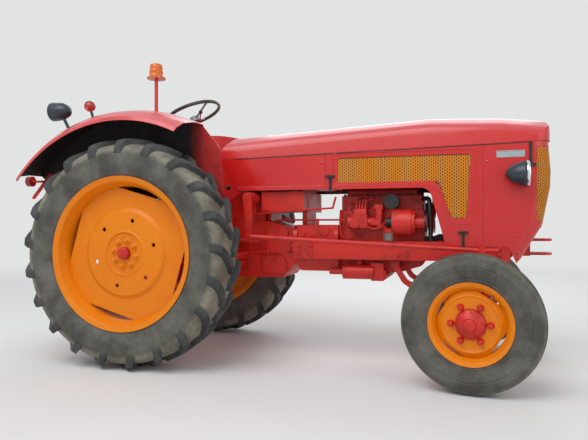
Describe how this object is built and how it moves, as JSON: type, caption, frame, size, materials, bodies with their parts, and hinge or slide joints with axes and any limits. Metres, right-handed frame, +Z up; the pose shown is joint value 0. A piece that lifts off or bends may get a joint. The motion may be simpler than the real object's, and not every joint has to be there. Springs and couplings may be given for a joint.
{
  "type": "farm tractor",
  "caption": "Light row-crop farm tractor with a long tilting bonnet, open seat, shell fenders, steered front wheels and a rear three-point lift.",
  "frame": {"origin": "on the ground under the middle of the tractor's bounding box", "axes": "+X forward, +Y to the driver's left, +Z up"},
  "size_m": [3.4804, 1.651, 1.967],
  "materials": {
    "body_red": "faded gloss",
    "chassis_red": "dusty",
    "wheel_orange": "satin",
    "mesh_ochre": "dusty",
    "iron": "oily, dusty",
    "steel": "worn",
    "black_paint": "satin",
    "tyre": "dusty",
    "dark_plastic": "matt",
    "amber": "glossy",
    "seat_vinyl": "worn"
  },
  "bodies": {
    "chassis": {"battery_box": "body_red", "beacon": "amber", "beacon_pole": "body_red", "belt_and_hoses": "dark_plastic", "clutch_housing": "chassis_red", "controls": "steel", "cylinder_head": "chassis_red", "dash_cowl": "body_red", "engine_block": "chassis_red", "exhaust": "chassis_red", "fan": "chassis_red", "fender_lamps": "black_paint", "fenders": "body_red", "front_axle": "chassis_red", "front_frame": "chassis_red", "front_hitch": "chassis_red", "fuel_tank": "iron", "gearbox": "chassis_red", "generator": "chassis_red", "grille": "mesh_ochre", "headlamps": "black_paint", "injection_gear": "chassis_red", "latches": "dark_plastic", "nose_cowl": "body_red", "platform": "body_red", "pto_shaft": "steel", "radiator": "black_paint", "rear_axle_housing": "chassis_red", "rear_hitch": "chassis_red", "seat_cushion": "seat_vinyl", "seat_frame": "body_red", "side_panels": "body_red", "steering_column": "black_paint", "steering_gear": "chassis_red", "thrust_arms": "chassis_red", "vent_meshes": "mesh_ochre", "vent_panels": "body_red"},
    "hood": {"hood": "body_red"},
    "knuckle_right": {"knuckle_right": "chassis_red"},
    "knuckle_left": {"knuckle_left": "chassis_red"},
    "tie_rod": {"tie_rod": "steel"},
    "drag_link": {"drag_link": "chassis_red"},
    "drop_arm": {"drop_arm": "chassis_red"},
    "steering_wheel": {"steering_wheel": "dark_plastic"},
    "lift_arms": {"lift_arms": "chassis_red"},
    "lift_rods": {"lift_rods": "steel"},
    "lower_links": {"lower_links": "chassis_red"},
    "front_wheel_right": {"front_hub_right": "chassis_red", "front_rim_right": "wheel_orange", "front_tyre_right": "tyre"},
    "rear_wheel_right": {"rear_axle_shaft_right": "chassis_red", "rear_rim_right": "wheel_orange", "rear_tyre_right": "tyre"},
    "front_wheel_left": {"front_hub_left": "chassis_red", "front_rim_left": "wheel_orange", "front_tyre_left": "tyre"},
    "rear_wheel_left": {"rear_axle_shaft_left": "chassis_red", "rear_rim_left": "wheel_orange", "rear_tyre_left": "tyre"}
  },
  "joints": [
    {"name": "hood_hinge", "type": "hinge", "parent": "chassis", "child": "hood", "pos_m": [-0.376, 0, 1.367], "axis": [0, -1, 0], "range_deg": [0, 50]},
    {"name": "steer_right", "type": "hinge", "parent": "chassis", "child": "knuckle_right", "pos_m": [1.273, -0.53, 0.5], "axis": [0, 0, 1], "range_deg": [-35, 49]},
    {"name": "steer_left", "type": "hinge", "parent": "chassis", "child": "knuckle_left", "pos_m": [1.273, 0.53, 0.5], "axis": [0, 0, 1], "range_deg": [-35, 49]},
    {"name": "tie_rod_pivot", "type": "hinge", "parent": "knuckle_right", "child": "tie_rod", "pos_m": [1.13404, -0.51294, 0.6], "axis": [0, 0, 1], "range_deg": [-49, 35]},
    {"name": "drop_arm_swing", "type": "hinge", "parent": "chassis", "child": "drop_arm", "pos_m": [-0.131, -0.392, 1.085], "axis": [0, 1, 0], "range_deg": [-15.7, 21.7]},
    {"name": "drag_link_pivot", "type": "hinge", "parent": "drop_arm", "child": "drag_link", "pos_m": [-0.116, -0.42, 0.831], "axis": [0, 1, 0], "range_deg": [-21.7, 15.7]},
    {"name": "steering_wheel_turn", "type": "hinge", "parent": "chassis", "child": "steering_wheel", "pos_m": [-0.706, 0, 1.688], "axis": [-0.3649, 0, 0.9311], "range_deg": [-350, 490]},
    {"name": "front_spin_right", "type": "hinge", "parent": "knuckle_right", "child": "front_wheel_right", "pos_m": [1.25752, -0.65605, 0.378], "axis": [0.1219, 0.9925, 0], "continuous": true},
    {"name": "front_spin_left", "type": "hinge", "parent": "knuckle_left", "child": "front_wheel_left", "pos_m": [1.28848, 0.65605, 0.378], "axis": [0.1219, 0.9925, 0], "continuous": true},
    {"name": "rear_spin_right", "type": "hinge", "parent": "chassis", "child": "rear_wheel_right", "pos_m": [-0.822, -0.668, 0.725], "axis": [0, 1, 0], "continuous": true},
    {"name": "rear_spin_left", "type": "hinge", "parent": "chassis", "child": "rear_wheel_left", "pos_m": [-0.822, 0.668, 0.725], "axis": [0, 1, 0], "continuous": true},
    {"name": "lift_arm_swing", "type": "hinge", "parent": "chassis", "child": "lift_arms", "pos_m": [-0.942, 0, 0.985], "axis": [0, 1, 0], "range_deg": [-12, 28]},
    {"name": "lift_rod_pivot", "type": "hinge", "parent": "lift_arms", "child": "lift_rods", "pos_m": [-1.242, 0, 0.985], "axis": [0, 1, 0], "range_deg": [-28, 12]},
    {"name": "lower_link_swing", "type": "hinge", "parent": "chassis", "child": "lower_links", "pos_m": [-0.942, 0, 0.48], "axis": [0, 1, 0], "range_deg": [-12, 28]}
  ],
  "couplings": [
    {"joint": "steer_left", "follows": "steer_right", "ratio": 1},
    {"joint": "tie_rod_pivot", "follows": "steer_right", "ratio": -1},
    {"joint": "drop_arm_swing", "follows": "steer_right", "ratio": 0.4331},
    {"joint": "drag_link_pivot", "follows": "steer_right", "ratio": -0.4331},
    {"joint": "steering_wheel_turn", "follows": "steer_right", "ratio": 10},
    {"joint": "lift_rod_pivot", "follows": "lift_arm_swing", "ratio": -1},
    {"joint": "lower_link_swing", "follows": "lift_arm_swing", "ratio": 1}
  ]
}
